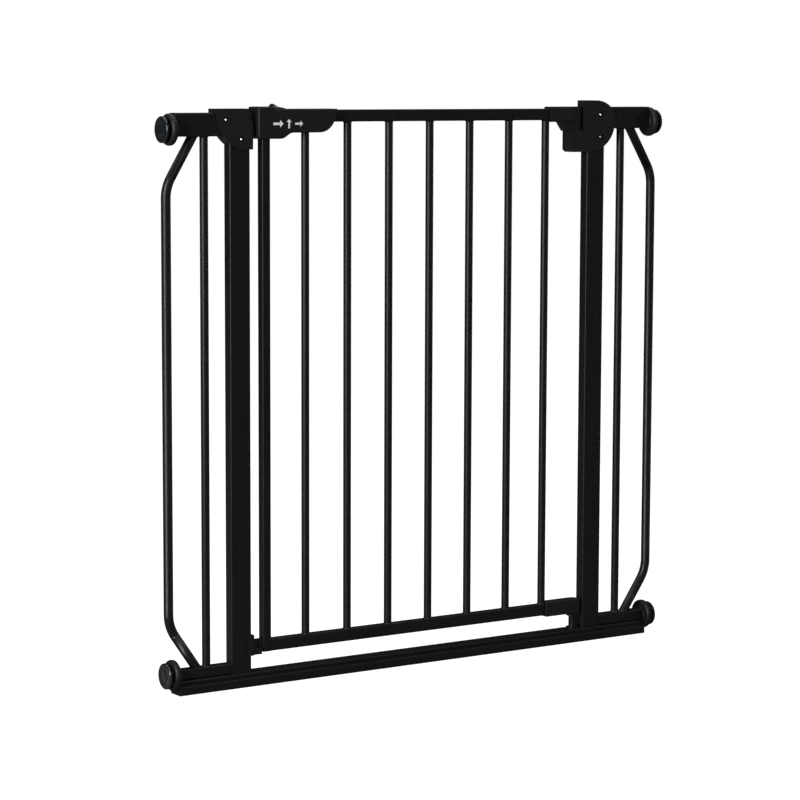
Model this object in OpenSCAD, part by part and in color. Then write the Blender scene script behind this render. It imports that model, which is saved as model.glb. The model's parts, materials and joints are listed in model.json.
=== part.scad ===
// Pressure-fit safety baby gate: a fixed frame, a door that lifts and swings, and four wall spindles.
// X runs along the gate, Y from front to back, Z up. The origin is under the middle of the base bar.

/* [Base bar] */
// Half length of the base bar with its end caps
base_half = 379; // [370:1:384]
// Height of the base bar
base_h = 19; // [18:0.5:20]
// Depth of the base bar's lower step, front to back
base_depth = 26; // [24:1:34]

/* [Posts and arms] */
// Distance of each post's centre from the middle
post_x = 285.4; // [285:0.1:286]
// Wide side of the rectangular frame tube
tube_w = 30; // [29:0.5:30]
// Narrow side of the rectangular frame tube
tube_d = 16; // [12:0.5:16]
// Wall thickness of the frame tube
tube_wall = 1.5; // [1:0.1:2]
// Distance of each arm's outer end from the middle
arm_end = 377.5; // [374:0.5:378]
// Top face of the left upper arm
arm_top = 746.5; // [746:0.5:747]
// How much higher the right upper arm sits than the left one
right_rise = 5.5; // [0:0.5:6]
// Top face of the left lower arm
low_arm_top = 33; // [33:0.5:35]
// How much higher the right lower arm's top is than the left one's
low_rise = 1.5; // [0:0.5:2]

/* [Side bars] */
// Distance of each straight side bar from the middle
side_bar_x = 334; // [330:1:337]
// Diameter of the straight side bars
side_bar_d = 10.9; // [8:0.1:12]
// Distance of each bent bar's upright from the middle
bent_bar_x = 389; // [387:0.5:392]
// Diameter of the bent bars
bent_bar_d = 12.5; // [10:0.5:13]
// Wall thickness of the straight round bars
bar_wall = 1; // [0.8:0.1:1.5]
// Distance of the bent bars' two ends from the middle
bent_foot_x = 350.5; // [349:0.5:354]
// Height of the bent bars' upper bend
bend_high = 653; // [640:1:665]
// Height of the bent bars' lower bend
bend_low = 90; // [85:1:100]
// Radius of the bends, to the middle of the bar
bend_r = 50; // [25:1:55]

/* [Door] */
// Distance of the latch stile's centre from the middle
stile_x = 245.4; // [245:0.1:246]
// Place of the first door bar
first_bar_x = -183.2; // [-184:0.1:-182]
// Spacing of the first six door bars
bar_pitch = 65; // [64.5:0.05:65.2]
// Place of the last door bar, next to the hinge
last_bar_x = 203.7; // [203:0.1:204.5]
// Diameter of the door bars
bar_d = 10.6; // [8:0.1:11]
// Underside of the door
door_bottom = 43; // [43:0.5:44]
// Height of the bottom rail
low_rail_h = 16; // [12:0.5:16]
// Underside of the top rail
rail_bottom = 734; // [733.5:0.1:735]
// Top of the top rail
rail_top = 749.8; // [749:0.1:749.9]
// Depth of the door's rails and stile
rail_d = 13; // [11:0.5:13]
// Wall thickness of the door's rails and stile
rail_wall = 1.2; // [0.8:0.1:1.2]

/* [Hinge] */
// Distance of the hinge axis from the middle
hinge_x = 259; // [258.8:0.1:259.2]
// Diameter of both hinge pins
pin_d = 8; // [6:0.5:8]
// Radial clearance of each pin in its bore
pin_play = 0.05; // [0.02:0.01:0.1]
// How far the door can be lifted
lift = 10; // [6:1:10]

/* [Handle] */
// Half depth of the handle, front to back
handle_half = 14; // [13:0.5:16]
// Travel of the release button
release_travel = 8; // [5:1:8]

/* [Wall spindles] */
// Height of the lower spindles
spindle_low = 26; // [26:0.5:28]
// Height of the upper left spindle
spindle_high = 725.5; // [724:0.5:729]
// Diameter of the spindle rods
rod_d = 8; // [7:0.5:9]
// Diameter of the hand nuts over their ribs
nut_d = 40.6; // [34:0.2:42]
// Diameter of the wall pads
pad_d = 34; // [28:1:40]

/* [Hidden] */
$fn = 64;

powder_black = [0.085, 0.085, 0.085];
plastic_black = [0.1, 0.1, 0.1];
button_black = [0.07, 0.07, 0.07];
zinc_steel = [0.62, 0.62, 0.64];
rubber_grey = [0.17, 0.18, 0.19];

gap = 0.1;
post_in = post_x - tube_w / 2;
post_out = post_x + tube_w / 2;
arm_low = arm_top - tube_w;
arm_mid = (arm_top + arm_low) / 2;
right_top = arm_top + right_rise;
right_low = right_top - tube_w;
right_foot = low_arm_top + low_rise;
right_spindle = spindle_high + right_rise;

// Base bar profile: a wide lower step, a groove and a narrower upper step
step_h = 12;
groove_top = 14;
groove_half = base_depth / 2 - 2.5;
upper_half = base_depth / 2 - 1.5;
base_skin = 1.2;
cap_t = 3;

// Catch housing on the latch post: a quarter-round plate in two shells
catch_r = 55.5;
catch_x = -266;
catch_z = 751;
catch_face = -267;
catch_top = 751.5;
catch_low = 699.5;
housing_half = 10;
slot_floor = -272;
catch_arm_in = -273;
catch_screw_at = [[-306.2, 737.3], [-283.6, 712.2]];

// Hinge housing on the hinge post
knuckle_x = 272;
knuckle_z = 733;
knuckle_right = 317;
knuckle_top = 761;
knuckle_face = 266;
block_left = 240.5;
block_low = 690;
block_top = 719;
bush_d = 12;
bush_low = 692;
hinge_screw_at = [[293, 741], [292.6, 710]];

// Door
stile_w = 12;
stile_left = -stile_x - stile_w / 2;
stile_right = -stile_x + stile_w / 2;
low_rail_top = door_bottom + low_rail_h;
bore_d = pin_d + 2 * pin_play;
foot_half = 10;
sleeve_half = 7.7;
sleeve_left = 207;
sleeve_end = hinge_x - 10.5;
sleeve_low = 731.5;
sleeve_top = 752.5;
boss_r = 5.5;
gusset_low = block_top + 0.1;
foot_left = 206;
foot_low = 41.5;
foot_top = 61;
collar_d = 11;
collar_top = 37;
washer_low = collar_top + 0.05;
washer_top = 41.2;
pin_top = 56;
shelf_top = 50;

// Handle and latch
handle_left = -260.8;
handle_top = 751;
hump_top = 753.9;
hump_right = -235.3;
bolt_size = 8;
bolt_low = 737;
bolt_tip = -270.5;
bolt_end = -206;
stem_x = -228;
spring_end = -190;
handle_screw_at = [[-230, 724], [-205, 727], [-163, 728]];

// Wall spindles
flange_out = arm_end + 1.3;
nut_in = max(flange_out, base_half) + 0.3;
nut_t = 9;
nut_out = nut_in + nut_t;
pad_in = nut_out + 4.2;
pad_out = pad_in + 3.5;
rod_in = 318;
rib_r = 1.3;

// ---- shared shapes ----

// Rounded rectangle about the origin, from squares and circles
module rounded_box_2d(w, h, r) {
    square([w - 2 * r, h], center = true);
    square([w, h - 2 * r], center = true);
    for (sx = [-1, 1], sy = [-1, 1])
        translate([sx * (w / 2 - r), sy * (h / 2 - r)]) circle(r = r);
}

// Extrudes a front-to-back by height outline along X
module along_x(x0, x1) {
    translate([x0, 0, 0]) rotate([90, 0, 90]) linear_extrude(x1 - x0) children();
}

// Extrudes a side-to-side by height outline along Y
module along_y(y0, y1) {
    translate([0, y1, 0]) rotate([90, 0, 0]) linear_extrude(y1 - y0) children();
}

module block(x0, x1, y0, y1, z0, z1) {
    translate([x0, y0, z0]) cube([x1 - x0, y1 - y0, z1 - z0]);
}

module rod_x(x0, x1, z, d) {
    translate([x0, 0, z]) rotate([0, 90, 0]) cylinder(d = d, h = x1 - x0);
}

module rod_y(x, z, d, y0, y1) {
    translate([x, y0, z]) rotate([-90, 0, 0]) cylinder(d = d, h = y1 - y0);
}

module rod_z(x, d, z0, z1) {
    translate([x, 0, z0]) cylinder(d = d, h = z1 - z0);
}

// Rectangular tube along X
module tube_x(x0, x1, z, high, deep, wall, r) {
    along_x(x0, x1) translate([0, z]) difference() {
        rounded_box_2d(deep, high, r);
        square([deep - 2 * wall, high - 2 * wall], center = true);
    }
}

// Upright rectangular tube
module tube_z(x, z0, z1, wide, deep, wall, r) {
    translate([x, 0, z0]) linear_extrude(z1 - z0) difference() {
        rounded_box_2d(wide, deep, r);
        square([wide - 2 * wall, deep - 2 * wall], center = true);
    }
}

// Puts a right-hand part on the left side
module left() {
    mirror([1, 0, 0]) children();
}

function curve(a, b, c, d, n) = [
    for (i = [0 : n]) let (t = i / n, s = 1 - t)
        a * s * s * s + b * 3 * s * s * t + c * 3 * s * t * t + d * t * t * t
];

// ---- base bar ----

module base_outline() {
    translate([0, step_h / 2]) rounded_box_2d(base_depth, step_h, 2);
    translate([0, (step_h + groove_top) / 2]) square([2 * groove_half, groove_top - step_h + 2], center = true);
    translate([0, (groove_top + base_h) / 2]) rounded_box_2d(2 * upper_half, base_h - groove_top, 2.2);
}

module base_hollow_2d(shrink) {
    translate([0, step_h / 2]) square([base_depth - 2 * base_skin - shrink, step_h - 2 * base_skin - shrink], center = true);
}

module base_bar() {
    color(powder_black) along_x(-(base_half - cap_t), base_half - cap_t) difference() {
        base_outline();
        base_hollow_2d(0);
        translate([0, (base_h - base_skin + 5) / 2])
            square([2 * groove_half - 2 * base_skin, base_h - base_skin - 5], center = true);
    }
}

module base_cap() {
    color(plastic_black) {
        along_x(base_half - cap_t, base_half) base_outline();
        along_x(base_half - cap_t - 15, base_half - cap_t) base_hollow_2d(gap);
    }
}

module base_cap_left() { left() base_cap(); }
module base_cap_right() { base_cap(); }

// ---- posts, arms and side bars ----

// Post with a clearance hole through front and back for the housing's lower screw
module post(x, top, screw, keeper_holes) {
    color(powder_black) difference() {
        tube_z(x, base_h, top, tube_w, tube_d, tube_wall, 2);
        rod_y(screw[0], screw[1], 3.4, -tube_d, tube_d);
        if (keeper_holes)
            for (y = [-4.5, 4.5])
                translate([0, y, 0]) rod_x(-post_in - 8, -post_in + 1, 64.5, 2.6);
    }
}

module post_left() { post(-post_x, arm_low, catch_screw_at[1], true); }
module post_right() { post(post_x, right_low, hinge_screw_at[1], false); }

module upper_arm(x0, x1, z, screw) {
    color(powder_black) difference() {
        tube_x(x0, x1, z, tube_w, tube_d, tube_wall, 2);
        rod_y(screw[0], screw[1], 3.4, -tube_d, tube_d);
    }
}

module upper_arm_left() { upper_arm(-arm_end, catch_arm_in, arm_mid, catch_screw_at[0]); }
module upper_arm_right() { upper_arm(post_in, arm_end, arm_mid + right_rise, hinge_screw_at[0]); }

module lower_arm(top) {
    color(powder_black) tube_x(post_out, arm_end, (base_h + top) / 2, top - base_h, tube_d, tube_wall, 2);
}

module lower_arm_left() { left() lower_arm(low_arm_top); }
module lower_arm_right() { lower_arm(right_foot); }

// Upright round tube
module bar_z(x, d, z0, z1) {
    difference() {
        rod_z(x, d, z0, z1);
        rod_z(x, d - 2 * bar_wall, z0 - 1, z1 + 1);
    }
}

module side_bar_left() {
    color(powder_black) bar_z(-side_bar_x, side_bar_d, low_arm_top, arm_low);
}

module side_bar_right() {
    color(powder_black) bar_z(side_bar_x, side_bar_d, right_foot, right_low);
}

// Round bar, upright in its middle and bent inwards at both ends, longer than it needs to be
module bent_rod(d, low, top, knee) {
    over = 15;
    up = atan2(bent_bar_x - bent_foot_x, top - knee);
    down = atan2(bent_bar_x - bent_foot_x, bend_low - low);
    up_reach = bend_r * tan(up / 2);
    down_reach = bend_r * tan(down / 2);
    up_len = (top - knee) / cos(up);
    down_len = (bend_low - low) / cos(down);
    rod_z(bent_bar_x, d, bend_low + down_reach, knee - up_reach);
    translate([bent_bar_x - bend_r, 0, knee - up_reach]) rotate([90, 0, 0])
        rotate_extrude(angle = up) translate([bend_r, 0]) circle(d = d);
    translate([bent_bar_x - bend_r, 0, bend_low + down_reach]) rotate([90, 0, 0]) rotate([0, 0, -down])
        rotate_extrude(angle = down) translate([bend_r, 0]) circle(d = d);
    translate([bent_bar_x, 0, knee]) rotate([0, -up, 0])
        translate([0, 0, up_reach]) cylinder(d = d, h = up_len - up_reach + over);
    translate([bent_bar_x, 0, bend_low]) rotate([0, 180 + down, 0])
        translate([0, 0, down_reach]) cylinder(d = d, h = down_len - down_reach + over);
}

// Bent bar, cut level at the arms
module bent_bar(low, top, knee) {
    color(powder_black) intersection() {
        bent_rod(bent_bar_d, right_foot, top, knee);
        block(bent_foot_x - 40, bent_bar_x + 40, -20, 20, low, top);
    }
}

module bent_bar_left() { left() bent_bar(low_arm_top, arm_low, bend_high); }
module bent_bar_right() { bent_bar(right_foot, right_low, bend_high + right_rise); }

// Plastic bush that closes an arm's end and guides its rod
module arm_bush(z_arm, high, z_rod) {
    plug_h = high - 2 * tube_wall - 2 * gap;
    plug_d = tube_d - 2 * tube_wall - 2 * gap;
    color(plastic_black) difference() {
        union() {
            along_x(arm_end, flange_out) translate([0, z_arm]) rounded_box_2d(tube_d, high, 2);
            along_x(arm_end - 20, arm_end) translate([0, z_arm]) square([plug_d, plug_h], center = true);
        }
        rod_x(arm_end - 30, flange_out + 5, z_rod, rod_d + 2 * gap);
    }
}

module bush_upper_left() { left() arm_bush(arm_mid, tube_w, spindle_high); }
module bush_upper_right() { arm_bush(arm_mid + right_rise, tube_w, right_spindle); }
module bush_lower_left() { left() arm_bush((base_h + low_arm_top) / 2, low_arm_top - base_h, spindle_low); }
module bush_lower_right() { arm_bush((base_h + right_foot) / 2, right_foot - base_h, spindle_low); }

// ---- catch and hinge housings ----

// Cross-head screw along Y: the head faces -Y and its top is at y0
module screw_y(x, z, head_d, y0, y1) {
    difference() {
        union() {
            rod_y(x, z, head_d, y0, y0 + 1.2);
            rod_y(x, z, 3, y0 + 1.2, y1);
        }
        block(x - 1.5, x + 1.5, y0 - 1, y0 + 0.7, z - 0.3, z + 0.3);
        block(x - 0.3, x + 0.3, y0 - 1, y0 + 0.7, z - 1.5, z + 1.5);
    }
}

// Recess for a screw's head in the front shell, and its hole through both shells
module screw_room(at) {
    for (p = at) {
        rod_y(p[0], p[1], 7.4, -housing_half - 1, -housing_half + 1.4);
        rod_y(p[0], p[1], 3.1, -housing_half, housing_half - 0.6);
    }
}

// Room for the post and the arm inside a housing
module frame_room(x_post, arm_x0, arm_x1, low, top) {
    half = tube_d / 2 + gap;
    block(x_post - tube_w / 2 - gap, x_post + tube_w / 2 + gap, -half, half, 600, low + gap);
    block(arm_x0, arm_x1, -half, half, low - gap, top + gap);
}

module catch_outline() {
    intersection() {
        translate([catch_x, catch_z]) circle(r = catch_r);
        translate([catch_x - catch_r, catch_low])
            square([catch_r + catch_face - catch_x, catch_top - catch_low]);
    }
}

module catch_shell(y0, y1) {
    color(plastic_black) difference() {
        along_y(y0, y1) catch_outline();
        frame_room(-post_x, -400, catch_arm_in + gap, arm_low, arm_top);
        block(slot_floor, catch_face + 1, -20, 20, bolt_low - 1, catch_top + 1);
        screw_room(catch_screw_at);
    }
}

module catch_front_shell() { catch_shell(-housing_half, 0); }
module catch_back_shell() { catch_shell(0, housing_half); }

module catch_screws() {
    color(zinc_steel) for (p = catch_screw_at) screw_y(p[0], p[1], 4.8, -housing_half + 0.2, housing_half - 0.8);
}

module hinge_outline() {
    polygon(concat(
        [[knuckle_face, block_top], [knuckle_face, knuckle_top]],
        curve([284, knuckle_top], [304, knuckle_top], [knuckle_right, 749], [knuckle_right, knuckle_z], 14),
        curve([knuckle_right, knuckle_z], [knuckle_right, 709], [298, block_low], [knuckle_x, block_low], 14),
        [[block_left + 4, block_low], [block_left, block_low + 3.5], [block_left, block_top]]
    ));
}

module hinge_shell(y0, y1) {
    color(plastic_black) difference() {
        along_y(y0, y1) hinge_outline();
        frame_room(post_x, post_in - gap, 400, right_low, right_top);
        rod_z(hinge_x, bush_d + 2 * gap, bush_low, block_top + 1);
        screw_room(hinge_screw_at);
    }
}

module hinge_front_shell() { hinge_shell(-housing_half, 0); }
module hinge_back_shell() { hinge_shell(0, housing_half); }

module hinge_screws() {
    color(zinc_steel) for (p = hinge_screw_at) screw_y(p[0], p[1], 4.8, -housing_half + 0.2, housing_half - 0.8);
}

module hinge_bush() {
    color(plastic_black) difference() {
        rod_z(hinge_x, bush_d, bush_low, block_top);
        rod_z(hinge_x, bore_d, bush_low - 1, block_top + 1);
    }
}

// ---- lower keeper and lower hinge pin ----

// Clip round the latch post with a shelf that the door's peg rests over
module lower_keeper() {
    color(plastic_black) difference() {
        union() {
            block(-277, -267.5, -housing_half, housing_half, 40.7, 68);
            block(-267.5, -262.3, -8, 8, 41, 61);
            block(-267.5, -254.5, -8, 8, 41, shelf_top);
        }
        block(-320, -post_in + gap, -tube_d / 2 - gap, tube_d / 2 + gap, 30, 80);
        for (y = [-4.5, 4.5]) translate([0, y, 0]) {
            rod_x(-290, -260, 64.5, 2.6);
            rod_x(-268.7, -260, 64.5, 5);
        }
    }
}

module keeper_screws() {
    color(zinc_steel) for (y = [-4.5, 4.5]) translate([0, y, 0]) {
        rod_x(-268.7, -267.8, 64.5, 4.6);
        rod_x(-277, -268.7, 64.5, 2.4);
    }
}

module lower_hinge_pin() {
    color(powder_black) {
        rod_z(hinge_x, 18, base_h, base_h + 2);
        rod_z(hinge_x, collar_d, base_h + 2, collar_top);
        rod_z(hinge_x, pin_d, collar_top, pin_top);
    }
}

module thrust_washer() {
    color(plastic_black) difference() {
        rod_z(hinge_x, 18, washer_low, washer_top);
        rod_z(hinge_x, bore_d, washer_low - 1, washer_top + 1);
    }
}

// ---- door frame ----

module door_stile() {
    color(powder_black) difference() {
        tube_z(-stile_x, door_bottom, rail_top, stile_w, rail_d, rail_wall, 1.5);
        block(stile_left - 1, stile_right + 1, -4.5, 4.5, bolt_low - 0.5, bolt_low + bolt_size + 0.5);
    }
}

// Top rail with the slot for the button's stem and the tab that backs the bolt spring
module top_rail() {
    rail_mid = (rail_bottom + rail_top) / 2;
    color(powder_black) {
        difference() {
            tube_x(stile_right, 240, rail_mid, rail_top - rail_bottom, rail_d, rail_wall, 1.5);
            block(stem_x - 4, stem_x + 4 + release_travel, -2.6, 2.6, rail_mid, rail_top + 1);
        }
        block(spring_end, spring_end + 3, -rail_d / 2 + rail_wall, rail_d / 2 - rail_wall,
            rail_bottom + rail_wall, rail_top - rail_wall);
    }
}

module bottom_rail() {
    color(powder_black) tube_x(stile_right, 238, door_bottom + low_rail_h / 2, low_rail_h, rail_d, rail_wall, 1.5);
}

function bar_x(i) = i == 7 ? last_bar_x : first_bar_x + (i - 1) * bar_pitch;

module door_bar(i) {
    color(powder_black) bar_z(bar_x(i), bar_d, low_rail_top, rail_bottom);
}

module door_bar_1() { door_bar(1); }
module door_bar_2() { door_bar(2); }
module door_bar_3() { door_bar(3); }
module door_bar_4() { door_bar(4); }
module door_bar_5() { door_bar(5); }
module door_bar_6() { door_bar(6); }
module door_bar_7() { door_bar(7); }

// ---- door hinge parts ----

// Room for a rail's end inside a sleeve
module rail_room(x1, z0, z1) {
    block(100, x1, -rail_d / 2 - gap, rail_d / 2 + gap, z0 - gap, z1 + gap);
}

module top_hinge_sleeve() {
    color(plastic_black) difference() {
        union() {
            along_x(sleeve_left, sleeve_end) translate([0, (sleeve_low + sleeve_top) / 2])
                rounded_box_2d(2 * sleeve_half, sleeve_top - sleeve_low, 2.5);
            block(sleeve_end - 5, hinge_x, -boss_r, boss_r, gusset_low, sleeve_top);
            rod_z(hinge_x, 2 * boss_r, gusset_low, sleeve_top);
            along_y(-5, 5) polygon([
                [225, sleeve_low + 1], [225, sleeve_low], [234, gusset_low],
                [sleeve_end, gusset_low], [sleeve_end, sleeve_low + 1]
            ]);
        }
        rail_room(240.2, rail_bottom, rail_top);
        rod_z(last_bar_x, bar_d + 2 * gap, sleeve_low - 1, rail_bottom);
        rod_z(hinge_x, bore_d, gusset_low - 1, 750.2);
    }
}

module top_hinge_pin() {
    color(zinc_steel) rod_z(hinge_x, pin_d, 697.5, 750);
}

module bottom_hinge_sleeve() {
    color(plastic_black) difference() {
        union() {
            block(foot_left, hinge_x, -foot_half, foot_half, foot_low, foot_top);
            rod_z(hinge_x, 2 * foot_half, foot_low, foot_top);
        }
        rail_room(238.2, door_bottom, low_rail_top);
        rod_z(last_bar_x, bar_d + 2 * gap, low_rail_top, foot_top + 1);
        rod_z(hinge_x, bore_d, foot_low - 1, pin_top + 2.5);
    }
}

module keeper_peg() {
    color(plastic_black) block(-261.5, stile_left, -5, 5, shelf_top + 0.5, 60);
}

// ---- handle and latch ----

module handle_outline() {
    polygon(concat(
        [[handle_left, 716.7], [handle_left + 4, 712.7]],
        curve([-226.6, 712.7], [-219, 712.7], [-216, 720.4], [-208, 720.4], 8),
        curve([-169, 720.4], [-153, 720.4], [-144, 731], [-141.4, handle_top], 12),
        [[hump_right, handle_top], [hump_right, hump_top], [handle_left + 1.5, hump_top],
            [handle_left, hump_top - 1.5]]
    ));
}

// Everything cut out of the handle's two shells
module handle_room() {
    half = rail_d / 2 + gap;
    block(stile_left - gap, stile_right + gap, -half, half, 700, rail_top + gap);
    block(stile_right, -100, -half, half, rail_bottom - gap, rail_top + gap);
    rod_z(first_bar_x, bar_d + 2 * gap, 710, rail_bottom);
    block(handle_left - 1, stile_left, -4.5, 4.5, bolt_low - 0.5, bolt_low + bolt_size + 0.5);
    block(stem_x - 4, stem_x + 4 + release_travel, -2.6, 2.6, rail_top - 1, handle_top + 1);
    for (p = handle_screw_at) {
        rod_y(p[0], p[1], 7, handle_half - 2.4, handle_half + 1);
        rod_y(p[0], p[1], 3.1, -9, handle_half);
    }
    difference() {
        union() {
            block(-236.5, -213, -handle_half + 2.5, handle_half - 2.5, 717, rail_bottom - 1);
            block(-214, -190, -handle_half + 2.5, handle_half - 2.5, 723, rail_bottom - 1);
            block(-173, -160, -handle_half + 2.5, handle_half - 2.5, 725, rail_bottom - 1);
        }
        for (p = handle_screw_at) rod_y(p[0], p[1], 9, -handle_half, handle_half);
    }
}

module handle_shell(y0, y1) {
    color(plastic_black) difference() {
        along_y(y0, y1) handle_outline();
        handle_room();
    }
}

module handle_front_shell() { handle_shell(-handle_half, 0); }
module handle_back_shell() { handle_shell(0, handle_half); }

// Screws put in from the back
module handle_screws() {
    color(zinc_steel) mirror([0, 1, 0])
        for (p = handle_screw_at) screw_y(p[0], p[1], 5.6, -handle_half + 0.9, 8.6);
}

// Thumb button that slides along the top of the handle, with its stem
module release_button() {
    foot = handle_top + 0.25;
    color(button_black) {
        intersection() {
            along_y(-9, 9) polygon(concat(
                [[hump_right + 0.4, foot], [hump_right + 1.1, 755.4]],
                curve([-233.6, 757.2], [-232.6, 758.3], [-231.4, 756.4], [-228.4, 753.9], 6),
                [[-219, 752], [-217.5, foot]]
            ));
            along_x(-240, -210) polygon([[-9, foot], [-9, 752.4], [-2, 758.6], [2, 758.6], [9, 752.4], [9, foot]]);
        }
        block(stem_x - 2.5, stem_x + 2.5, -2, 2, bolt_low + 4, handle_top + 1);
    }
}

module latch_bolt() {
    color(plastic_black) difference() {
        block(bolt_tip, bolt_end, -bolt_size / 2, bolt_size / 2, bolt_low, bolt_low + bolt_size);
        block(stem_x - 2.6, stem_x + 2.6, -2.1, 2.1, bolt_low + 3.9, bolt_low + bolt_size + 1);
    }
}

// Coil spring along X, swept as a tube round a helix
module bolt_spring() {
    wire = 0.45;
    coil_r = 3;
    x0 = bolt_end + wire + 0.1;
    x1 = spring_end - wire - 0.1;
    turns = 6;
    steps = turns * 16;
    sides = 8;
    points = [
        for (i = [0 : steps], k = [0 : sides - 1])
            let (a = 360 * turns * i / steps, b = 360 * k / sides, r = coil_r + wire * cos(b))
                [x0 + (x1 - x0) * i / steps + wire * sin(b), r * cos(a), bolt_low + bolt_size / 2 + r * sin(a)]
    ];
    skin = [
        for (i = [0 : steps - 1], k = [0 : sides - 1])
            let (n = (k + 1) % sides)
                [i * sides + k, i * sides + n, (i + 1) * sides + n, (i + 1) * sides + k]
    ];
    first = [for (k = [sides - 1 : -1 : 0]) k];
    last = [for (k = [0 : sides - 1]) steps * sides + k];
    color(zinc_steel) polyhedron(points, concat(skin, [first], [last]), convexity = 10);
}

// ---- wall spindles ----

module spindle_rod(z) {
    color(zinc_steel) rod_x(rod_in, pad_in - 0.5, z, rod_d);
}

module rod_upper_left() { left() spindle_rod(spindle_high); }
module rod_upper_right() { spindle_rod(right_spindle); }
module rod_lower_left() { left() spindle_rod(spindle_low); }
module rod_lower_right() { spindle_rod(spindle_low); }

// Ribbed hand nut, chamfered towards both faces
module hand_nut(z) {
    body_r = nut_d / 2 - 0.7;
    color(plastic_black) translate([nut_in, 0, z]) rotate([0, 90, 0]) difference() {
        union() {
            rotate_extrude() polygon([
                [0, 0], [body_r - 2, 0], [body_r, 2], [body_r, nut_t - 2.5], [body_r - 2.5, nut_t], [0, nut_t]
            ]);
            for (i = [0 : 23])
                rotate([0, 0, i * 15]) translate([nut_d / 2 - rib_r, 0, 2.2]) cylinder(r = rib_r, h = nut_t - 5);
        }
        translate([0, 0, -1]) cylinder(d = rod_d + 2 * pin_play, h = nut_t + 2);
    }
}

module nut_upper_left() { left() hand_nut(spindle_high); }
module nut_upper_right() { hand_nut(right_spindle); }
module nut_lower_left() { left() hand_nut(spindle_low); }
module nut_lower_right() { hand_nut(spindle_low); }

// Wall pad: a disc with a hub round the rod's end
module wall_pad(z) {
    color(rubber_grey) difference() {
        translate([nut_out + 0.6, 0, z]) rotate([0, 90, 0]) union() {
            cylinder(d = 16, h = pad_in - nut_out - 0.6);
            translate([0, 0, pad_in - nut_out - 0.6]) rotate_extrude() polygon([
                [0, 0], [pad_d / 2 - 0.6, 0], [pad_d / 2, 0.6], [pad_d / 2, pad_out - pad_in - 1],
                [pad_d / 2 - 1, pad_out - pad_in], [0, pad_out - pad_in]
            ]);
        }
        rod_x(nut_out, pad_in - 0.4, z, rod_d + gap);
    }
}

module pad_upper_left() { left() wall_pad(spindle_high); }
module pad_upper_right() { wall_pad(right_spindle); }
module pad_lower_left() { left() wall_pad(spindle_low); }
module pad_lower_right() { wall_pad(spindle_low); }

base_bar();
base_cap_left();
base_cap_right();
post_left();
post_right();
upper_arm_left();
upper_arm_right();
lower_arm_left();
lower_arm_right();
side_bar_left();
side_bar_right();
bent_bar_left();
bent_bar_right();
bush_upper_left();
bush_upper_right();
bush_lower_left();
bush_lower_right();
catch_front_shell();
catch_back_shell();
catch_screws();
hinge_front_shell();
hinge_back_shell();
hinge_screws();
hinge_bush();
lower_keeper();
keeper_screws();
lower_hinge_pin();
door_stile();
top_rail();
bottom_rail();
door_bar_1();
door_bar_2();
door_bar_3();
door_bar_4();
door_bar_5();
door_bar_6();
door_bar_7();
handle_front_shell();
handle_back_shell();
handle_screws();
top_hinge_sleeve();
bottom_hinge_sleeve();
top_hinge_pin();
keeper_peg();
bolt_spring();
release_button();
latch_bolt();
thrust_washer();
rod_upper_left();
rod_upper_right();
rod_lower_left();
rod_lower_right();
nut_upper_left();
nut_upper_right();
nut_lower_left();
nut_lower_right();
pad_upper_left();
pad_upper_right();
pad_lower_left();
pad_lower_right();
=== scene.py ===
import json
import math

import bmesh
import bpy
from mathutils import Matrix, Vector


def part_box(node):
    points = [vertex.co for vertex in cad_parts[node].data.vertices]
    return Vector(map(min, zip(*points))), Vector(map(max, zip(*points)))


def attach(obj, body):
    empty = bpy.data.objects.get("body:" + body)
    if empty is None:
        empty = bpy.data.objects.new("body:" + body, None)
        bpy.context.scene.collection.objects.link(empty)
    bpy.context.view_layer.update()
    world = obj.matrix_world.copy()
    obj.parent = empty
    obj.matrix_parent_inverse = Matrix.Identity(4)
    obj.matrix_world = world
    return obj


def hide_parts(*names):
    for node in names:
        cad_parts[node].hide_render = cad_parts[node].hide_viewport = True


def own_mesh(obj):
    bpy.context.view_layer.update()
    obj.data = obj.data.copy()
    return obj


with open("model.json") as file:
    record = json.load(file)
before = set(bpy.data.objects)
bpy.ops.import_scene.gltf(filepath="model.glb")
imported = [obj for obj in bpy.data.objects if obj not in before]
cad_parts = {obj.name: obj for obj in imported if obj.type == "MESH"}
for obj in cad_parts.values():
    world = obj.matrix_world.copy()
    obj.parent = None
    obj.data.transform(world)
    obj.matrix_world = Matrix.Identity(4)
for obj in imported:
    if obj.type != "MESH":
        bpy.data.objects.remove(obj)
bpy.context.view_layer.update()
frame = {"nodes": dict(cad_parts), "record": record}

# Safety baby gate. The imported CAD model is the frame; this script gives it rounded edges, procedural
# materials, threads, ribs, weld beads, lights and a camera. Lengths are in millimetres, but those of
# the materials, the floor, the lights and the camera are in metres.

MM = 0.001
SAME_POINT = 0.00001
NODES = frame["nodes"]
CORNERS = ("upper_left", "upper_right", "lower_left", "lower_right")


def low(node):
    """Lowest corner of a CAD node, in millimetres."""
    return Vector(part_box(node)[0]) / MM


def high(node):
    """Highest corner of a CAD node, in millimetres."""
    return Vector(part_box(node)[1]) / MM


def middle(node):
    return (low(node) + high(node)) / 2


# ---- materials ----


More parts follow.
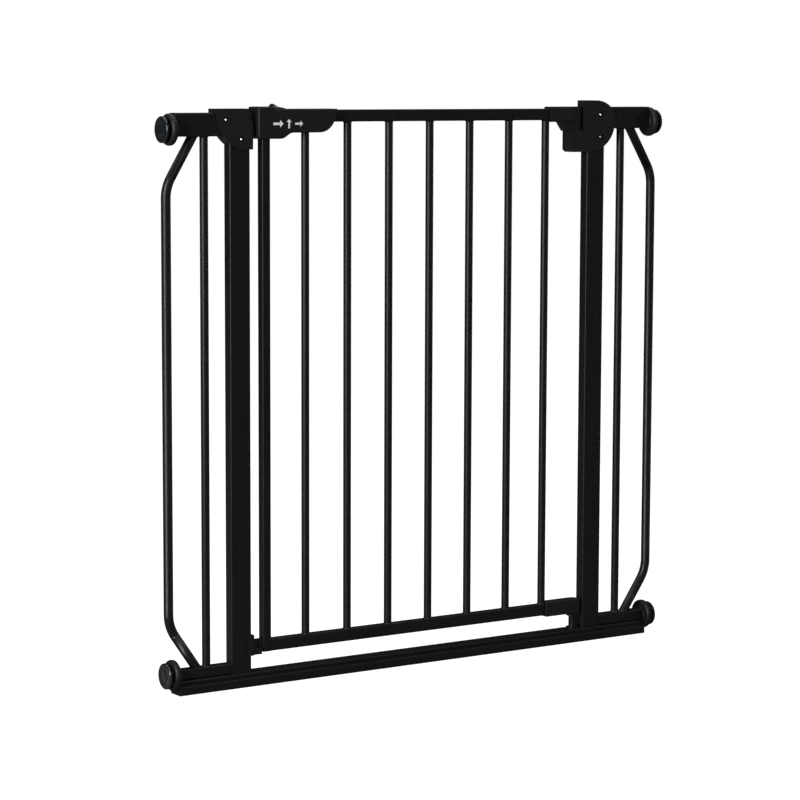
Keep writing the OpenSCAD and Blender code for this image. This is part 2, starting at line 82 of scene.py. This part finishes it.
class Graph:
    """A short way to build one material's nodes."""

    def __init__(self, name):
        self.material = bpy.data.materials.new(name)
        self.material.use_nodes = True
        self.tree = self.material.node_tree
        self.shader = self.tree.nodes["Principled BSDF"]

    def add(self, kind, inputs=None, **settings):
        node = self.tree.nodes.new(kind)
        for key, value in settings.items():
            setattr(node, key, value)
        for key, value in (inputs or {}).items():
            if isinstance(value, bpy.types.NodeSocket):
                self.tree.links.new(value, node.inputs[key])
            else:
                node.inputs[key].default_value = value
        return node

    def place(self):
        """Coordinates fixed to the piece, in metres."""
        return self.add("ShaderNodeTexCoord").outputs["Object"]

    def noise(self, scale, detail=3.0, rough=0.55, vector=None):
        inputs = {"Scale": scale, "Detail": detail, "Roughness": rough, "Vector": vector or self.place()}
        return self.add("ShaderNodeTexNoise", inputs).outputs["Fac"]

    def remap(self, value, a, b, c, d):
        inputs = {"Value": value, "From Min": a, "From Max": b, "To Min": c, "To Max": d}
        return self.add("ShaderNodeMapRange", inputs).outputs["Result"]

    def tones(self, value, dark, light, a=0.3, b=0.7):
        ramp = self.add("ShaderNodeValToRGB", {"Fac": value})
        ramp.color_ramp.elements[0].position = a
        ramp.color_ramp.elements[1].position = b
        ramp.color_ramp.elements[0].color = (*dark, 1)
        ramp.color_ramp.elements[1].color = (*light, 1)
        return ramp.outputs["Color"]

    def bump(self, height, distance, strength=1.0, under=None):
        inputs = {"Height": height, "Distance": distance, "Strength": strength}
        if under:
            inputs["Normal"] = under
        return self.add("ShaderNodeBump", inputs).outputs["Normal"]

    def finish(self, color, roughness, normal, **uniform):
        self.tree.links.new(color, self.shader.inputs["Base Color"])
        self.tree.links.new(roughness, self.shader.inputs["Roughness"])
        self.tree.links.new(normal, self.shader.inputs["Normal"])
        for key, value in uniform.items():
            self.shader.inputs[key.replace("_", " ")].default_value = value
        return self.material


def powder_coat():
    """Satin black powder coat: orange-peel waves with a fine grain over them."""
    g = Graph("powder_coat")
    cloud = g.noise(9, 4)
    peel = g.noise(420, 2)
    grain = g.noise(1700, 2)
    color = g.tones(cloud, (0.0030, 0.0030, 0.0030), (0.0046, 0.0045, 0.0043))
    rough = g.remap(g.noise(130, 4), 0.3, 0.7, 0.34, 0.47)
    normal = g.bump(grain, 0.00004, 0.5, g.bump(peel, 0.00012, 0.35))
    return g.finish(color, rough, normal, Specular_IOR_Level=0.3)


def grained_plastic():
    """Matt black moulded plastic with a spark-eroded grain."""
    g = Graph("grained_plastic")
    cells = g.add("ShaderNodeTexVoronoi", {"Scale": 1500.0, "Vector": g.place()}, feature="SMOOTH_F1")
    color = g.tones(g.noise(14, 4), (0.0040, 0.0040, 0.0041), (0.0060, 0.0060, 0.0058))
    rough = g.remap(g.noise(260, 4), 0.3, 0.7, 0.45, 0.58)
    normal = g.bump(cells.outputs["Distance"], 0.00005, 0.4, g.bump(g.noise(60, 2), 0.0001, 0.12))
    return g.finish(color, rough, normal, Specular_IOR_Level=0.3)


def button_plastic():
    """Smoother black plastic of the thumb button."""
    g = Graph("button_plastic")
    color = g.tones(g.noise(30, 3), (0.0028, 0.0028, 0.0030), (0.0042, 0.0042, 0.0042))
    rough = g.remap(g.noise(300, 4), 0.3, 0.7, 0.27, 0.36)
    normal = g.bump(g.noise(900, 2), 0.00003, 0.3)
    return g.finish(color, rough, normal, Specular_IOR_Level=0.5)


def zinc_plate():
    """Bright zinc-plated steel with drawn lines and dull patches."""
    g = Graph("zinc_plate")
    stretch = g.add("ShaderNodeMapping", {"Vector": g.place(), "Scale": (60.0, 1400.0, 1400.0)})
    lines = g.noise(1, 3, vector=stretch.outputs["Vector"])
    color = g.tones(g.noise(160, 5), (0.46, 0.46, 0.47), (0.68, 0.68, 0.70))
    rough = g.remap(g.noise(90, 5), 0.3, 0.7, 0.2, 0.4)
    normal = g.bump(lines, 0.00002, 0.35)
    return g.finish(color, rough, normal, Metallic=1.0)


def pad_rubber():
    """Dark grey rubber with a slight bloom and a smooth moulded face."""
    g = Graph("pad_rubber")
    color = g.tones(g.noise(120, 5), (0.0045, 0.0060, 0.0072), (0.0085, 0.0105, 0.0120))
    rough = g.remap(g.noise(200, 4), 0.3, 0.7, 0.12, 0.24)
    normal = g.bump(g.noise(300, 2), 0.00003, 0.2)
    return g.finish(color, rough, normal, Specular_IOR_Level=0.6)


def printed_mark():
    """Thin pale pad-printed ink, a little uneven."""
    g = Graph("printed_mark")
    color = g.tones(g.noise(1200, 3), (0.70, 0.70, 0.70), (0.84, 0.84, 0.83))
    rough = g.remap(g.noise(700, 3), 0.3, 0.7, 0.45, 0.6)
    return g.finish(color, rough, g.bump(g.noise(2500, 2), 0.00003, 0.4))


def recess_painted_shade():
    """Painted shade: near-black matt colour with almost no reflection, standing in for the shade inside the
    screw recesses and the screws' cross slots.
    """
    g = Graph("recess_painted_shade")
    color = g.tones(g.noise(400, 3), (0.0006, 0.0006, 0.0006), (0.0012, 0.0012, 0.0012))
    rough = g.remap(g.noise(500, 3), 0.3, 0.7, 0.8, 0.95)
    return g.finish(color, rough, g.bump(g.noise(900, 2), 0.00003, 0.3), Specular_IOR_Level=0.02)


def pale_floor():
    """Plain pale studio floor."""
    g = Graph("pale_floor")
    color = g.tones(g.noise(2, 3), (0.20, 0.20, 0.20), (0.22, 0.22, 0.22))
    rough = g.remap(g.noise(6, 3), 0.3, 0.7, 0.8, 0.9)
    glow = g.add("ShaderNodeLightPath").outputs["Is Camera Ray"]
    g.tree.links.new(glow, g.shader.inputs["Emission Strength"])
    g.shader.inputs["Emission Color"].default_value = (1, 1, 1, 1)
    return g.finish(color, rough, g.bump(g.noise(40, 2), 0.0001, 0.1), Specular_IOR_Level=0.1)


MATERIAL = {
    "powder_coated_steel": powder_coat(),
    "black_plastic": grained_plastic(),
    "button_plastic": button_plastic(),
    "zinc_plated_steel": zinc_plate(),
    "pad_rubber": pad_rubber(),
}


def coat_cad_nodes():
    """Gives every CAD node the material of its slot in the record."""
    for entry in frame["record"]["subparts"]:
        obj = NODES[entry["node"]]
        obj.data.materials.clear()
        obj.data.materials.append(MATERIAL[entry["material_slot"]])


# ---- rounded edges on the CAD nodes ----


def soften(node, width, segments=3):
    """Rounds a CAD node's sharp edges with modifiers, by width millimetres."""
    obj = NODES[node]
    weld = obj.modifiers.new("join", "WELD")
    weld.merge_threshold = SAME_POINT
    flat = obj.modifiers.new("flat_faces", "DECIMATE")
    flat.decimate_type = "DISSOLVE"
    flat.angle_limit = math.radians(0.6)
    round_edges(obj, width, segments, 35)
    obj.data.polygons.foreach_set("use_smooth", [True] * len(obj.data.polygons))


def round_edges(obj, width, segments, angle):
    """Bevels edges sharper than this angle, and keeps the shading of the flat faces flat."""
    bevel = obj.modifiers.new("edge_round", "BEVEL")
    bevel.width = width * MM
    bevel.segments = segments
    bevel.limit_method = "ANGLE"
    bevel.angle_limit = math.radians(angle)
    obj.modifiers.new("even_shading", "WEIGHTED_NORMAL")


def soften_all():
    for name in NODES:
        if name.startswith(("post", "upper_arm", "lower_arm", "base_bar", "door_stile")):
            soften(name, 0.35)
        elif name.startswith(("top_rail", "bottom_rail", "bush", "base_cap")):
            soften(name, 0.4)
        elif name.startswith(("side_bar", "bent_bar", "door_bar", "hinge_bush")):
            soften(name, 0.25)
        elif name.startswith(("catch_front", "catch_back", "hinge_front", "hinge_back")):
            soften(name, 1.1, 4)
        elif name.endswith("_sleeve") or name.startswith(("lower_keeper", "keeper_peg")):
            soften(name, 1.0)
        elif name.startswith(("release_button", "latch_bolt", "thrust_washer")):
            soften(name, 0.5)
        elif "screws" in name or name.endswith("_pin"):
            soften(name, 0.2, 2)


# ---- pieces made here ----


def make_object(name, bm, material, body, smooth_angle=35):
    """Turns a bmesh into a piece that rides on a body."""
    bmesh.ops.recalc_face_normals(bm, faces=bm.faces)
    mesh = bpy.data.meshes.new(name)
    bm.to_mesh(mesh)
    bm.free()
    mesh.polygons.foreach_set("use_smooth", [True] * len(mesh.polygons))
    mesh.set_sharp_from_angle(angle=math.radians(smooth_angle))
    mesh.materials.append(material)
    obj = bpy.data.objects.new(name, mesh)
    bpy.context.scene.collection.objects.link(obj)
    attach(obj, body)
    return obj


def bridge(bm, rings, closed):
    """Joins rings of vertices with faces. A ring of one vertex is a pole."""
    pairs = list(zip(rings, rings[1:]))
    if closed:
        pairs.append((rings[-1], rings[0]))
    for a, b in pairs:
        count = max(len(a), len(b))
        for i in range(count):
            j = (i + 1) % count
            corners = [a[i % len(a)], a[j % len(a)], b[j % len(b)], b[i % len(b)]]
            bm.faces.new(list(dict.fromkeys(corners)))


def turned(profile, steps, side, height, closed=False, swell=None):
    """Turns (distance out, radius) points round a spindle's axis.

    swell(out, radius, turn) is added to the radius.
    """
    bm = bmesh.new()
    rings = []
    for out, radius in profile:
        if radius == 0:
            rings.append([bm.verts.new((side * out * MM, 0, height * MM))])
            continue
        ring = []
        for i in range(steps):
            turn = i / steps
            r = radius + (swell(out, radius, turn) if swell else 0)
            a = 2 * math.pi * turn
            # the turn runs right-handed about the outward axis on either side
            y, z = r * math.cos(a), side * r * math.sin(a)
            ring.append(bm.verts.new((side * out * MM, y * MM, (height + z) * MM)))
        rings.append(ring)
    bridge(bm, rings, closed)
    return bm


def side_and_height(corner):
    """Which side a spindle is on, and its axis height."""
    return (-1 if corner.endswith("left") else 1), middle("nut_" + corner).z


def reach(node):
    """Nearest and farthest distance of a spindle piece from the middle of the gate."""
    ends = sorted((abs(low(node).x), abs(high(node).x)))
    return ends[0], ends[1]


def hand_nut(corner):
    """Ribbed hand nut with chamfers, a sunk ring in its outer face and a hub round the rod."""
    side, height = side_and_height(corner)
    inner, outer = reach("nut_" + corner)
    full = (high("nut_" + corner).z - low("nut_" + corner).z) / 2
    ribs = 24
    rib_depth = 0.3
    body = full - rib_depth
    profile = [
        (inner, 4.06), (inner, 9.0), (inner + 0.5, 9.6), (inner + 0.5, body - 3.6), (inner, body - 2.9),
        (inner + 0.3, body - 1.7), (inner + 1.0, body - 0.8), (inner + 2.0, body), (inner + 2.8, body),
        (inner + 3.8, body), (inner + 5.2, body), (outer - 2.6, body), (outer - 2.0, body - 0.3),
        (outer - 1.0, body - 1.2), (outer - 0.35, body - 2.1), (outer, body - 3.0), (outer, body - 4.4),
        (outer - 0.8, body - 5.1), (outer - 1.6, body - 6.0), (outer - 1.6, 8.6), (outer - 1.0, 8.0),
        (outer - 0.1, 7.6), (outer, 7.2), (outer, 4.06),
    ]

    def rib(out, radius, turn):
        if radius <= body - 0.1 or not inner + 1.9 < out < outer - 1.9:
            return 0.0
        wave = max(0.0, math.cos(2 * math.pi * ribs * turn)) ** 1.5
        across = max(0.0, 1 - ((out - (inner + outer) / 2 + 0.2) / 3.0) ** 2)
        return rib_depth * wave * min(1.0, across * 2.2)

    bm = turned(profile, ribs * 8, side, height, closed=True, swell=rib)
    name = "nut_detail_" + corner
    obj = make_object(name, bm, MATERIAL["black_plastic"], "nut_body_" + corner, 40)
    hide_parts("nut_" + corner)


def wall_pad(corner):
    """Rubber wall pad: a rolled rim round a sunk face with one fine ring, and a hub behind."""
    side, height = side_and_height(corner)
    hub, outer = reach("pad_" + corner)
    back = outer - 3.5
    full = (high("pad_" + corner).z - low("pad_" + corner).z) / 2
    rim = 1.7
    face = outer - 0.35
    profile = [(hub, 4.1), (hub, 7.6), (hub + 0.3, 8.0), (back - 0.2, 8.0), (back, 8.6), (back, full - 1.0)]
    for degrees in (30, 60, 90):
        a = math.radians(degrees)
        profile.append((back + 1.2 - 1.2 * math.cos(a), full - 1.0 + 1.0 * math.sin(a)))
    for degrees in range(0, 91, 15):
        a = math.radians(degrees)
        profile.append((outer - rim + rim * math.sin(a), full - rim + rim * math.cos(a)))
    profile += [(outer, full - 2.6), (outer - 0.3, full - 3.0), (face, full - 3.4)]
    profile += [(face, full - 8.0), (face - 0.2, full - 8.3), (face, full - 8.6), (face, 2.2), (face, 0)]
    bm = turned(profile, 96, side, height)
    close_back(bm)
    name = "pad_detail_" + corner
    obj = make_object(name, bm, MATERIAL["pad_rubber"], "spindle_body_" + corner)
    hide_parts("pad_" + corner)


def close_back(bm):
    """Fills any open ring, so that the piece is a closed solid."""
    open_edges = [e for e in bm.edges if e.is_boundary]
    if open_edges:
        bmesh.ops.holes_fill(bm, edges=open_edges, sides=0)


def threaded_rod(corner):
    """Spindle rod with a right-hand thread of 2.5 mm pitch along its whole length."""
    side, height = side_and_height(corner)
    start, end = reach("rod_" + corner)
    pitch = 2.5
    depth = 0.9
    rings_a_turn = 8
    full = (high("rod_" + corner).z - low("rod_" + corner).z) / 2

    def thread(out, _radius, turn):
        phase = (out / pitch - turn) % 1.0
        flank = abs(2 * phase - 1)
        return -depth * min(1.0, max(0.0, (flank - 0.12) / 0.76))

    rings = int((end - start) / pitch * rings_a_turn)
    profile = [(start, 0)]
    profile += [(start + (end - start) * i / rings, full) for i in range(rings + 1)]
    profile += [(end, 0)]
    bm = turned(profile, 24, side, height, swell=thread)
    body = "spindle_body_" + corner
    zinc = MATERIAL["zinc_plated_steel"]
    obj = make_object("rod_thread_" + corner, bm, zinc, body, 60)
    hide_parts("rod_" + corner)


# ---- handle ----


def slot_of(node):
    """Material slot of a CAD node in the record."""
    return next(entry["material_slot"] for entry in frame["record"]["subparts"] if entry["node"] == node)


def rounded_shell(node, body, face_y, big, small):
    """A copy of a shell whose outer face's outline is rounded by big, and its other sharp edges by small."""
    bm = bmesh.new()
    bm.from_mesh(NODES[node].data)
    bmesh.ops.remove_doubles(bm, verts=bm.verts, dist=SAME_POINT)
    bmesh.ops.dissolve_limit(bm, angle_limit=math.radians(1), verts=bm.verts, edges=bm.edges)
    shortest = 0.8
    sharp = 1.2

    def outline(edge):
        """True for the sharp edges of the outer face that are longer than a small hole's facets."""
        on_face = all(abs(v.co.y - face_y * MM) < 0.02 * MM for v in edge.verts)
        return on_face and edge.calc_length() > shortest * MM and edge.calc_face_angle() > sharp

    edges = [e for e in bm.edges if e.is_manifold and outline(e)]
    rounding = {"offset": big * MM, "segments": 5, "profile": 0.5, "clamp_overlap": False}
    bmesh.ops.bevel(bm, geom=edges, affect="EDGES", **rounding)
    name = node + "_rounded"
    slot = slot_of(node)
    obj = make_object(name, bm, MATERIAL[slot], body, 28)
    round_edges(obj, small, 2, 50)
    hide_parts(node)
    return obj


def handle_shells():
    big, small = 2.2, 0.35
    rounded_shell("handle_front_shell", "door", low("handle_front_shell").y, big, small)
    rounded_shell("handle_back_shell", "door", high("handle_back_shell").y, big, small)


def raised_shape(name, points, face_y, thick, material, body):
    """A thin flat shape on the front of a part, from side-to-side and height points."""
    bm = bmesh.new()
    front = [bm.verts.new((x * MM, (face_y - thick) * MM, z * MM)) for x, z in points]
    back = [bm.verts.new((x * MM, (face_y + 0.05) * MM, z * MM)) for x, z in points]
    bm.faces.new(front)
    bm.faces.new(back)
    bridge(bm, [front, back], False)
    return make_object(name, bm, material, body)


def arrow(x, z, size, turn):
    """Outline of an arrow of this length, centred on x, z and turned anticlockwise by turn degrees."""
    half, head, stem = size / 2, size * 0.32, size * 0.11
    shape = [
        (-half, -stem), (half - head, -stem), (half - head, -head), (half, 0),
        (half - head, head), (half - head, stem), (-half, stem),
    ]
    c, s = math.cos(math.radians(turn)), math.sin(math.radians(turn))
    return [(x + u * c - v * s, z + u * s + v * c) for u, v in shape]


def opening_symbols():
    """Plain printed arrows on the handle: slide, lift, swing."""
    mark = printed_mark()
    face = low("handle_front_shell").y
    left = low("handle_front_shell").x
    z = low("top_rail").z - 2
    ink = 0.12
    arrows = (("slide_arrow", 29, 15, 0), ("lift_arrow", 45, 12, 90), ("swing_arrow", 60, 12, 0))
    for name, x, size, turn in arrows:
        raised_shape(name, arrow(left + x, z, size, turn), face, ink, mark, "door")


# ---- screws in the housings ----


# The screw heads: the glint lamp lights these and nothing else
GLINTS = bpy.data.collections.new("glints")


def screw_places(node):
    """Place along the gate, height and head radius of each of a housing's two screws."""
    face = low(node).y
    points = [v.co / MM for v in NODES[node].data.vertices if v.co.y / MM < face + 0.1]
    split = middle(node).z
    places = []
    for upper in (True, False):
        group = [v for v in points if (v.z > split) == upper]
        xs = [v.x for v in group]
        zs = [v.z for v in group]
        places.append(((min(xs) + max(xs)) / 2, (min(zs) + max(zs)) / 2, (max(xs) - min(xs)) / 2))
    return places


def turned_y(bm, profile, x, z):
    """Rings of vertices made by turning (front-to-back, radius) points round a screw's axis."""
    steps = 32
    turns = [2 * math.pi * i / steps for i in range(steps)]
    rings = []
    for y, radius in profile:
        if radius == 0:
            rings.append([bm.verts.new((x * MM, y * MM, z * MM))])
            continue
        points = [(x + radius * math.cos(a), y, z + radius * math.sin(a)) for a in turns]
        rings.append([bm.verts.new(Vector(point) * MM) for point in points])
    return rings


def housing_screws(node):
    """Domed screw heads, each with a cross of painted shade in place of its slot, at the bottom of a cup
    painted near-black as the recess's shade.
    """
    heads, shade_cups, shade_crosses = bmesh.new(), bmesh.new(), bmesh.new()
    top, end = low(node).y, high(node).y
    deep, shank, cup_r = 1.2, 1.5, 3.69
    for x, z, full in screw_places(node):
        r = full - 0.4
        dome = [
            (top + deep - 1.15 * math.cos(a), r * math.sin(a))
            for a in (i * math.pi / 16 for i in range(9))
        ]
        dome += [(top + deep, shank), (end - shank, shank), (end, 0)]
        bridge(heads, turned_y(heads, dome, x, z), False)
        cup = [
            (top + 1.0, r + 0.1), (top + 0.95, 3.3), (top - 0.1, 3.62),
            (top - 0.1, cup_r), (top + deep, cup_r), (top + deep, r + 0.1),
        ]
        bridge(shade_cups, turned_y(shade_cups, cup, x, z), True)
        for wide, tall in ((1.8, 0.4), (0.4, 1.8)):
            size = (wide * MM, 0.5 * MM, tall * MM, 1)
            place = Matrix.Translation(Vector((x, top + 0.28, z)) * MM) @ Matrix.Diagonal(size)
            bmesh.ops.create_cube(shade_crosses, size=1.0, matrix=place)
    zinc = MATERIAL["zinc_plated_steel"]
    head = make_object(node + "_domed", heads, zinc, "frame", 40)
    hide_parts(node)
    GLINTS.objects.link(head)
    # painted shade: the cups and crosses are near-black where the recesses and cross slots would be in shade
    dark = recess_painted_shade()
    make_object(node + "_cups", shade_cups, dark, "frame", 40)
    make_object(node + "_crosses", shade_crosses, dark, "frame", 40)


def latch_spring():
    """The coil spring behind the bolt, which in the latch shortens as the bolt slides back; here a copy of
    the CAD spring rides on the door at one length.
    """
    zinc = MATERIAL["zinc_plated_steel"]
    bm = bmesh.new()
    bm.from_mesh(NODES["bolt_spring"].data)
    obj = make_object("latch_spring", bm, zinc, "door", 60)
    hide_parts("bolt_spring")
    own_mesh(obj)


# ---- weld beads ----


def bead(bm, x, z, half_x, half_y, up, spread, rise, phase):
    """A concave, rippled weld bead round a bar's end, on the tube whose face is at height z."""
    steps = 36
    levels = 6
    rings = []
    for k in range(levels):
        t = k / (levels - 1)
        grow = spread * (1 - math.sin(t * math.pi / 2)) ** 1.3
        level = rise * t
        ring = []
        for i in range(steps):
            a = 2 * math.pi * i / steps
            ripple = 1 + 0.12 * math.sin(9 * a + phase) + 0.06 * math.sin(17 * a + 2 * phase)
            r = -0.12 + grow * ripple
            point = (x + (half_x + r) * math.cos(a), (half_y + r) * math.sin(a), z + up * level)
            ring.append(bm.verts.new(Vector(point) * MM))
        rings.append(ring)
    inside = []
    for level in (rise, -0.3):
        ring = []
        for i in range(steps):
            a = 2 * math.pi * i / steps
            point = (x + (half_x - 0.6) * math.cos(a), (half_y - 0.6) * math.sin(a), z + up * level)
            ring.append(bm.verts.new(Vector(point) * MM))
        inside.append(ring)
    bridge(bm, rings + inside, True)


def door_welds():
    """Beads where the door's round bars meet the two rails."""
    bm = bmesh.new()
    rail = low("top_rail").z
    foot = high("bottom_rail").z
    sleeve = low("top_hinge_sleeve").x
    bars = [name for name in NODES if name.startswith("door_bar_")]
    for i in range(1, len(bars) + 1):
        node = "door_bar_%d" % i
        x = middle(node).x
        half = (high(node).x - low(node).x) / 2
        if high("handle_front_shell").x < x < sleeve:
            bead(bm, x, rail, half, half, -1, 1.5, 2.0, i)
        bead(bm, x, foot, half, half, 1, 1.5, 2.0, i + 0.5)
    coat = MATERIAL["powder_coated_steel"]
    make_object("door_weld_beads", bm, coat, "door", 60)


def frame_welds():
    """Beads where the side bars and bent bars meet the arms."""
    coat = MATERIAL["powder_coated_steel"]
    for side in ("left", "right"):
        bm = bmesh.new()
        arm = low("upper_arm_" + side).z
        foot = high("lower_arm_" + side).z
        straight = "side_bar_" + side
        half = (high(straight).x - low(straight).x) / 2
        bead(bm, middle(straight).x, arm, half, half, -1, 1.5, 2.0, 1)
        bead(bm, middle(straight).x, foot, half, half, 1, 1.5, 2.0, 2)
        bent = "bent_bar_" + side
        thick = high(bent).y
        for z, up, slope in ((arm, -1, 31.2), (foot, 1, 36.0)):
            x = foot_centre(bent, z)
            bead(bm, x, z, thick / math.cos(math.radians(slope)), thick, up, 1.3, 1.2, 3 + up)
        make_object("frame_weld_beads_" + side, bm, coat, "frame", 60)


def foot_centre(node, z):
    """Middle of a bent bar's cut end at height z, along the gate."""
    xs = [v.co.x / MM for v in NODES[node].data.vertices if abs(v.co.z / MM - z) < 0.05]
    return (min(xs) + max(xs)) / 2


# ---- stage, lights and camera ----


def stage():
    """A plain floor just under the gate, much wider than the view."""
    bm = bmesh.new()
    size = 14.0
    level = -0.0002
    corners = [(-size, -size), (size, -size), (size, size), (-size, size)]
    bm.faces.new([bm.verts.new((x, y, level)) for x, y in corners])
    mesh = bpy.data.meshes.new("floor")
    bm.to_mesh(mesh)
    bm.free()
    mesh.materials.append(pale_floor())
    floor = bpy.data.objects.new("floor", mesh)
    bpy.context.scene.collection.objects.link(floor)


def world_light():
    """White to the eye, and a dim soft surround for light and reflections, paler at the front left."""
    world = bpy.data.worlds.new("studio")
    bpy.context.scene.world = world
    world.use_nodes = True
    tree = world.node_tree
    tree.nodes.clear()
    out = tree.nodes.new("ShaderNodeOutputWorld")
    mix = tree.nodes.new("ShaderNodeMixShader")
    path = tree.nodes.new("ShaderNodeLightPath")
    seen = tree.nodes.new("ShaderNodeBackground")
    seen.inputs["Color"].default_value = (1, 1, 1, 1)
    seen.inputs["Strength"].default_value = 1.0
    soft = tree.nodes.new("ShaderNodeBackground")
    soft.inputs["Strength"].default_value = 0.055
    place = tree.nodes.new("ShaderNodeTexCoord")
    lean = tree.nodes.new("ShaderNodeVectorMath")
    lean.operation = "DOT_PRODUCT"
    lean.inputs[1].default_value = (-0.8, -0.6, 0)
    fade = tree.nodes.new("ShaderNodeMapRange")
    fade.inputs["From Min"].default_value = -1.0
    fade.inputs["From Max"].default_value = 1.0
    fade.inputs["To Min"].default_value = 0.15
    fade.inputs["To Max"].default_value = 1.4
    tree.links.new(place.outputs["Generated"], lean.inputs[0])
    tree.links.new(lean.outputs["Value"], fade.inputs["Value"])
    tree.links.new(fade.outputs["Result"], soft.inputs["Color"])
    tree.links.new(path.outputs["Is Camera Ray"], mix.inputs["Fac"])
    tree.links.new(soft.outputs["Background"], mix.inputs[1])
    tree.links.new(seen.outputs["Background"], mix.inputs[2])
    tree.links.new(mix.outputs["Shader"], out.inputs["Surface"])


def area_light(name, place, target, width, height, power):
    """A rectangular lamp that points at target. Lengths in metres, power in watts."""
    data = bpy.data.lights.new(name, "AREA")
    data.shape = "RECTANGLE"
    data.size = width
    data.size_y = height
    data.energy = power
    obj = bpy.data.objects.new(name, data)
    obj.location = place
    obj.rotation_mode = "QUATERNION"
    obj.rotation_quaternion = (Vector(target) - Vector(place)).to_track_quat("-Z", "Y")
    bpy.context.scene.collection.objects.link(obj)
    return obj


def lights():
    middle_low, screws = (0, 0, 0.4), (0, 0, 0.72)
    area_light("overhead", (0, 0.5, 4.5), (0, 0.5, 0), width=6.0, height=6.0, power=170)
    area_light("left_strip", (-3.3, -1.3, 1.35), (0, 0, 0.6), width=0.5, height=1.9, power=140)
    area_light("front_soft", (0.8, -4.0, 1.8), middle_low, width=2.0, height=1.6, power=8)
    area_light("right_strip", (3.0, -1.2, 1.0), middle_low, width=0.25, height=2.2, power=8)
    lamp = area_light("screw_glint", (-2.6, -3.1, 2.4), screws, width=0.9, height=0.9, power=500)
    lamp.light_linking.receiver_collection = GLINTS


def camera():
    """The main view: a long lens from the front left, a little above the gate's top."""
    yaw, pitch, roll = math.radians(33.42), 0.117, 0.0033
    ahead = Vector((math.sin(yaw) * math.cos(pitch), math.cos(yaw) * math.cos(pitch), -math.sin(pitch)))
    level = Vector((math.cos(yaw), -math.sin(yaw), 0))
    upward = level.cross(ahead)
    right = math.cos(roll) * level + math.sin(roll) * upward
    up = -math.sin(roll) * level + math.cos(roll) * upward
    data = bpy.data.cameras.new("camera")
    data.sensor_width = 36
    data.lens = 123.4
    data.clip_end = 100
    obj = bpy.data.objects.new("camera", data)
    place = Vector((-2.0483, -3.0521, 0.7913))
    turn = Matrix((right, up, -ahead)).transposed().to_4x4()
    obj.matrix_world = Matrix.Translation(place) @ turn
    bpy.context.scene.collection.objects.link(obj)
    bpy.context.scene.camera = obj


coat_cad_nodes()
soften_all()
for corner in CORNERS:
    hand_nut(corner)
    wall_pad(corner)
    threaded_rod(corner)
handle_shells()
opening_symbols()
for housing in ("catch_screws", "hinge_screws"):
    housing_screws(housing)
latch_spring()
door_welds()
frame_welds()
stage()
world_light()
lights()
camera()
bpy.context.scene.view_settings.view_transform = "Standard"
